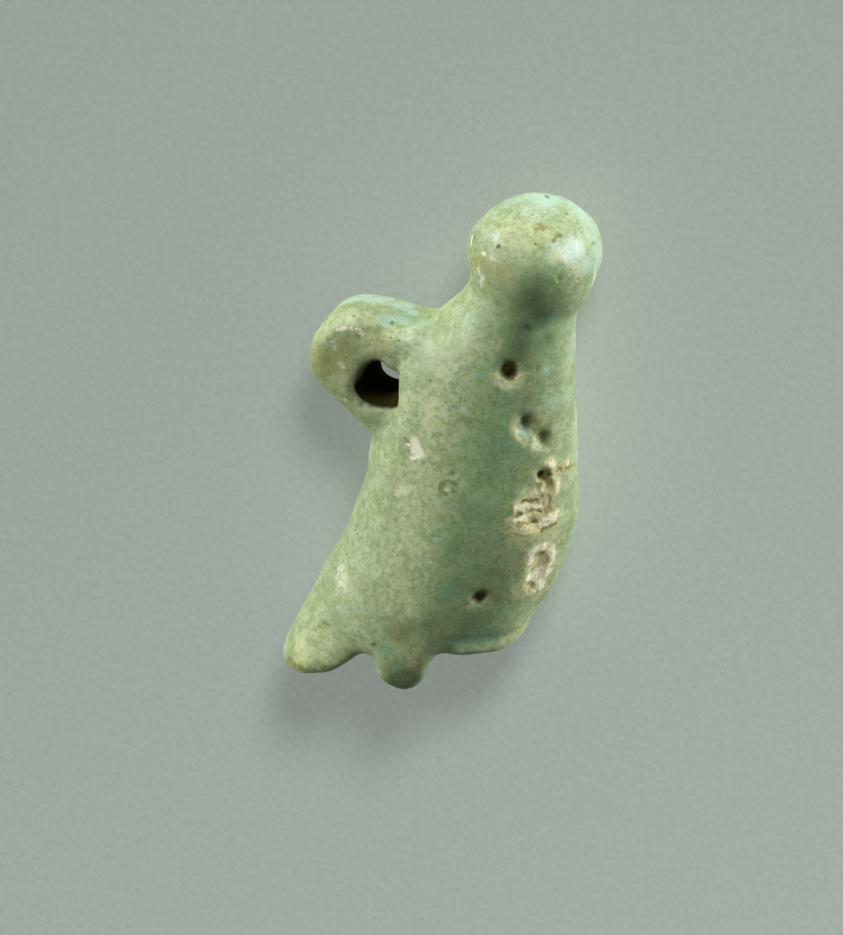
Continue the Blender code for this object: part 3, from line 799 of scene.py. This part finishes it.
class Shader:
    def __init__(self, name):
        self.material = bpy.data.materials.new(name)
        self.material.use_nodes = True
        self.nodes = self.material.node_tree.nodes
        self.links = self.material.node_tree.links
        self.surface = self.nodes["Principled BSDF"]

    def add(self, kind, settings, sockets, output=0):
        node = self.nodes.new(kind)
        for name, value in settings.items():
            setattr(node, name, value)
        for name, value in sockets.items():
            self.feed(node.inputs[name], value)
        return Wire(self, node.outputs[output])

    def feed(self, socket, value):
        if isinstance(value, Wire):
            self.links.new(value.socket, socket)
        else:
            socket.default_value = value

    def surfaceWith(self, **sockets):        # the principled shader that the material starts with
        for name, value in sockets.items():
            self.feed(self.surface.inputs[name.replace("_", " ")], value)
        return Wire(self, self.surface.outputs[0])

    def finish(self, surface):
        self.feed(self.nodes["Material Output"].inputs["Surface"], surface)
        return self.material

    def step(self, low, high, value):
        sockets = {"Value": value, "From Min": low, "From Max": high}
        return self.add("ShaderNodeMapRange", {"interpolation_type": "SMOOTHSTEP"}, sockets)

    def mix(self, share, first, second):
        sockets = {0: share, 6: first, 7: second}
        return self.add("ShaderNodeMix", {"data_type": "RGBA"}, sockets, 2)

    def tint(self, name):
        return self.add("ShaderNodeAttribute", {"attribute_name": name}, {}, "Fac")

    def inMm(self, offset=(0, 0, 0)):        # the piece's own coordinates, in millimetres
        place = self.add("ShaderNodeTexCoord", {}, {}, "Object")
        sockets = {"Vector": place, "Scale": (1 / millimetre,) * 3, "Location": offset}
        return self.add("ShaderNodeMapping", {}, sockets)

    def cloud(self, place, size, detail=2.0, roughness=0.5):
        sockets = {"Vector": place, "Scale": 1 / size, "Detail": detail, "Roughness": roughness}
        return self.add("ShaderNodeTexNoise", {}, sockets)

    def specks(self, place, cell, radius, least):        # soft round specks in some of the cells, sizes in mm
        sockets = {"Vector": place, "Scale": 1 / cell}
        gap = self.add("ShaderNodeTexVoronoi", {}, sockets)
        colour = self.add("ShaderNodeTexVoronoi", {}, sockets, "Color")
        pick = self.add("ShaderNodeSeparateColor", {}, {0: colour})
        return self.step(radius / cell * 1.3, radius / cell * 0.6, gap) * self.step(least, least + 0.05, pick)


class GlazeShader(Shader):        # with the glaze's own noises, and painted tints that they break up
    def __init__(self, name, looks):
        super().__init__(name)
        self.looks = looks
        self.places = {key: self.inMm(offset) for key, offset in looks["places"].items()}
        self.noises = {}
        for key, (place, *form) in looks["noises"].items():
            self.noises[key] = self.cloud(self.places[place], *form)

    def blend(self, name):
        return sum(self.noises[key] * part for key, part in self.looks["blends"][name].items())

    def share(self, name):        # where a painted tint shows
        low, high, _, breaks = self.looks["painted"][name]
        amount = self.tint(name)
        for key, much in breaks.items():
            amount = amount + (self.noises[key] - 0.5) * much
        return self.step(low, high, amount)

    def lay(self, name, colour):        # a painted tint over a colour
        return self.mix(self.share(name) * self.looks["painted"][name][2], colour, self.looks[name])

    def mottle(self, name, pattern, hold, colour):        # a pattern over a colour, held back by a share
        low, high, most, less, tone = self.looks["mottled"][name]
        return self.mix(self.step(low, high, pattern) * (most - hold * less), colour, self.looks[tone])


# The glaze: satin blue-green over a cream body, mottled, stained and flecked, with painted shade and light in
# some of its tints

glazeLooks = {
    "leaf": (0.3, 0.38, 0.175, 1),
    "sea": (0.255, 0.41, 0.19, 1),
    "pale": (0.48, 0.565, 0.35, 1),
    "yellow": (0.35, 0.39, 0.13, 1),
    "teal": (0.215, 0.44, 0.265, 1),
    # pale aqua, also laid as painted light and highlight
    "aquaAndLit": (0.45, 0.635, 0.505, 1),
    "olive": (0.37, 0.37, 0.11, 1),
    # pale yellow-green of thinned glaze, also laid as painted light
    "thinAndLit": (0.57, 0.63, 0.32, 1),
    "cream": (0.77, 0.78, 0.59, 1),
    "body": (0.7, 0.62, 0.31, 1),
    "crest": (0.95, 0.915, 0.65, 1),
    # dark green for greener spots and for painted shade
    "deepAndShade": (0.105, 0.165, 0.068, 1),
    # dark brown of soil and painted shade at the bottoms of pits and cracks
    "hollow": (0.09, 0.075, 0.02, 1),
    "crack": (0.27, 0.23, 0.075, 1),
    "fleck": (0.15, 0.18, 0.042, 1),
    "rust": (0.27, 0.215, 0.048, 1),
    "stain": (0.235, 0.275, 0.08, 1),
    "dot": (0.12, 0.24, 0.11, 1),
    "speck": (0.64, 0.74, 0.6, 1),
    # near-black for old dirt and painted shade inside the cord hole
    "dirtAndShade": (0.022, 0.02, 0.004, 1),
    # where the noises are read, and each noise: its place, size in mm, detail and roughness
    "places": {"here": (0, 0, 0), "aside": (7.3, 2.1, 5.9), "away": (-11.7, 4.3, 8.1)},
    "noises": {
        "broad": ("here", 1.6, 3, 0.55),
        "patch": ("aside", 0.8, 4, 0.62),
        "mottle": ("away", 0.34, 4, 0.65),
        "stain": ("away", 0.22, 3, 0.7),
        "lump": ("here", 0.2, 3, 0.6),
        "speckle": ("here", 0.15, 2, 0.6),
        "grain": ("aside", 0.06, 2, 0.6),
    },
    "blends": {        # noises added up, each by its part
        "cloudy": {"broad": 0.25, "patch": 0.35, "mottle": 0.4},
        "lace": {"speckle": 0.5, "mottle": 0.5},
        "relief": {"lump": 0.6, "grain": 0.4},
    },
    # painted tints: where each starts and is full, its share, and how much each noise breaks it up
    "painted": {
        "sea": (0.05, 1.05, 1, {"patch": 1.8}),
        "deepAndShade": (0.15, 1.05, 0.9, {"mottle": 0.8}),
        "teal": (0.15, 1.05, 0.75, {"mottle": 1.6, "patch": 0.6}),
        "aquaAndLit": (0.15, 0.9, 0.9, {"patch": 0.8, "speckle": 0.5}),
        "olive": (0.2, 1, 0.85, {"patch": 0.9, "speckle": 0.9}),
        "thinAndLit": (0.1, 0.8, 0.9, {"mottle": 0.6}),
        "cream": (0.15, 0.85, 0.9, {"speckle": 0.7}),
        "rust": (0.645, 0.839, 0.9, {"speckle": 3.226}),
        "fleck": (0.2, 0.9, 0.8, {}),
        "bare": (0.35, 0.65, 1, {"grain": 0.5}),
        "crest": (0.1, 0.9, 0.9, {}),
        "crack": (0.1, 0.9, 0.9, {"grain": 0.5}),
        "hollow": (0.1, 0.95, 0.95, {"grain": 0.2}),
        "boreShadeAndDirt": (0.05, 0.95, 1, {}),
    },
    # free mottling: where each starts and is full, its share, how much of that is held back, its colour
    "mottled": {
        "yellow": (0.5, 0.66, 0.6, 0.4, "yellow"),
        "pale": (0.44, 0.58, 0.65, 0.25, "pale"),
        "stain": (0.53, 0.68, 0.42, 0.35, "stain"),
        "speckle": (0.52, 0.72, 0.1, -0.15, "pale"),
        "lace": (0.5, 0.38, 0.34, 0.2, "dot"),
        "bodyThin": (0.38, 0.66, 0.5, 0, "thinAndLit"),
    },
    # scattered specks: cell and radius in mm, the share of empty cells, strength
    "dots": ((0.9, 0.09, 0.6), 0.6),
    "paleSpecks": ((0.5, 0.07, 0.55), 0.65),
    "raggedScale": 8,         # of the noise that makes the pale specks ragged
    "roughness": 0.5,
    "roughnessWaver": 0.3,
    "bodyRoughness": 0.9,
    "specular": 0.5,
    "coat": 0.6,              # the glossier glaze of the knob
    "coatRoughness": 0.4,
    "coatEdge": (0.1, 0.9),
    "bump": 0.04,             # mm
    "bumpStrength": 0.6,
    "bareRelief": 0.6,        # added by the grain of the bare body
    "glow": 0.3,              # light let in by the glaze, and how far it spreads in mm
    "glowReach": 0.25,
    "glowTint": (0.9, 1, 0.7),
}


def glazeColour(shader, looks):        # the unworn glaze
    noises, here = shader.noises, shader.places["here"]
    sea, aquaAndLit = shader.share("sea"), shader.share("aquaAndLit")
    colour = shader.mix(sea, looks["leaf"], looks["sea"])
    colour = shader.mottle("yellow", noises["broad"], sea, colour)
    cloudy = shader.blend("cloudy")
    colour = shader.mottle("pale", cloudy, sea, colour)
    for name in ("deepAndShade", "teal", "aquaAndLit", "olive", "thinAndLit"):
        colour = shader.lay(name, colour)
    colour = shader.mottle("stain", noises["stain"], aquaAndLit, colour)
    low, high = looks["mottled"]["pale"][:2]
    colour = shader.mottle("speckle", noises["speckle"], shader.step(low, high, cloudy), colour)
    colour = shader.mottle("lace", shader.blend("lace"), aquaAndLit, colour)

    sizes, strength = looks["dots"]
    colour = shader.mix(shader.specks(here, *sizes) * strength, colour, looks["dot"])
    waver = shader.add("ShaderNodeTexNoise", {}, {"Vector": here, "Scale": looks["raggedScale"]}, "Color")
    ragged = shader.add("ShaderNodeVectorMath", {"operation": "ADD"}, {0: shader.places["aside"], 1: waver})
    sizes, strength = looks["paleSpecks"]
    colour = shader.mix(shader.specks(ragged, *sizes) * strength, colour, looks["speck"])
    for name in ("cream", "rust", "fleck"):
        colour = shader.lay(name, colour)
    return colour


def makeGlaze(looks):
    shader = GlazeShader("wornFaienceGlaze", looks)
    grain, lump, bare = shader.noises["grain"], shader.noises["lump"], shader.share("bare")
    body = shader.lay("crest", shader.mottle("bodyThin", grain, 0.0, looks["body"]))
    colour = shader.mix(bare, glazeColour(shader, looks), body)
    for name in ("crack", "hollow"):
        colour = shader.lay(name, colour)

    worn = (bare + shader.share("hollow") * 0.5) * (looks["bodyRoughness"] - looks["roughness"])
    rough = looks["roughness"] + (lump - 0.5) * looks["roughnessWaver"] + worn
    relief = shader.blend("relief") + bare * grain * looks["bareRelief"]
    sockets = {"Height": relief, "Strength": looks["bumpStrength"], "Distance": looks["bump"] * millimetre}
    bump = shader.add("ShaderNodeBump", {}, sockets, "Normal")
    surface = shader.surfaceWith(
        Base_Color=colour, Roughness=rough, Normal=bump, Specular_IOR_Level=looks["specular"],
        Coat_Weight=shader.step(*looks["coatEdge"], shader.tint("aquaAndLit")) * looks["coat"],
        Coat_Roughness=looks["coatRoughness"], Subsurface_Weight=looks["glow"],
        Subsurface_Scale=looks["glowReach"] * millimetre, Subsurface_Radius=looks["glowTint"])
    # the cord hole's old dirt and painted shade: a matte near-black that takes no reflection
    dirtAndShade = shader.add("ShaderNodeBsdfPrincipled", {}, {
        "Base Color": looks["dirtAndShade"], "Roughness": 1.0, "Specular IOR Level": 0.0})
    sockets = {0: shader.share("boreShadeAndDirt"), 1: surface, 2: dirtAndShade}
    return shader.finish(shader.add("ShaderNodeMixShader", {}, sockets))


# Floor and lights

stageLooks = {
    "floor": (0.275, 0.315, 0.285, 1),
    "floorPale": (0.305, 0.345, 0.315, 1),
    "floorSize": 3,
    "floorRoughness": 0.9,
    "fibre": (0.35, 3, 0.7),        # size in mm, detail and roughness of the paper's mottling, and its edges
    "fibreEdge": (0.3, 0.7),
    # each light's direction in the photo's right, up and back, its width, height and distance in m, watts,
    # the one thing that it lights and the one that blocks it, where that isn't everything: the panels on
    # the right and at the top stand a little lower than the floor and shine up through it
    "lights": {
        "leftPanel": (-0.87, 0.34, 0.37, 0.5, 0.46, 0.7, 5.8, "crownOnly", None),
        "rightPanel": (0.92, 0.3, 0.2, 0.36, 0.4, 0.6, 4.15, None, "crownOnly"),
        "topPanel": (0.05, 0.94, 0.34, 0.3, 0.14, 0.5, 1.3, None, "crownOnly"),
        "floorPanel": (-0.05, -0.89, 0.46, 0.3, 0.3, 0.22, 0.705, "floorOnly", "floorOnly"),
        "shadePanel": (0.12, 0.38, 0.915, 0.14, 0.14, 0.6, 2.1, "floorOnly", None),
    },
    "ambient": (0.92, 0.96, 0.92, 1),
    "ambientStrength": 0.08,
}


def makeStage(photo, looks, crown):
    bpy.ops.mesh.primitive_plane_add(size=looks["floorSize"], location=(0, 0, 0))
    floor = bpy.context.object
    floor.name = "plainFloor"
    shader = Shader("palePaper")
    fibre = shader.step(*looks["fibreEdge"], shader.cloud(shader.inMm(), *looks["fibre"]))
    colour = shader.mix(fibre, looks["floor"], looks["floorPale"])
    surface = shader.surfaceWith(Base_Color=colour, Roughness=looks["floorRoughness"])
    floor.data.materials.append(shader.finish(surface))
    groups = {}
    for name, thing in (("crownOnly", crown), ("floorOnly", floor)):
        groups[name] = bpy.data.collections.new(name)
        groups[name].objects.link(thing)
    for name, (right, up, back, width, height, distance, watts, lit, blocker) in looks["lights"].items():
        toLight = unit(right * photo.right + up * photo.up + back * photo.back)
        bpy.ops.object.light_add(type="AREA", location=photo.target * millimetre + toLight * distance)
        light = bpy.context.object
        light.name = name
        light.rotation_euler = Vector(toLight).to_track_quat("Z", "Y").to_euler()
        light.data.shape = "RECTANGLE"
        light.data.size, light.data.size_y = width, height
        light.data.energy = watts
        light.light_linking.receiver_collection = groups.get(lit)
        light.light_linking.blocker_collection = groups.get(blocker)
    world = bpy.data.worlds.new("softRoom")
    world.use_nodes = True
    background = world.node_tree.nodes["Background"]
    background.inputs["Color"].default_value = looks["ambient"]
    background.inputs["Strength"].default_value = looks["ambientStrength"]
    bpy.context.scene.world = world
    bpy.context.scene.view_settings.view_transform = "Standard"


photo = PhotoView(cameraLooks)
makeCamera(photo, cameraLooks)
crown = makeCrown(photo)
crown.data.materials.append(makeGlaze(glazeLooks))
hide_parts("crown_amulet")
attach(crown, "root")
print("crown glazed")
makeStage(photo, stageLooks, crown)
print("floor and lights are in place")
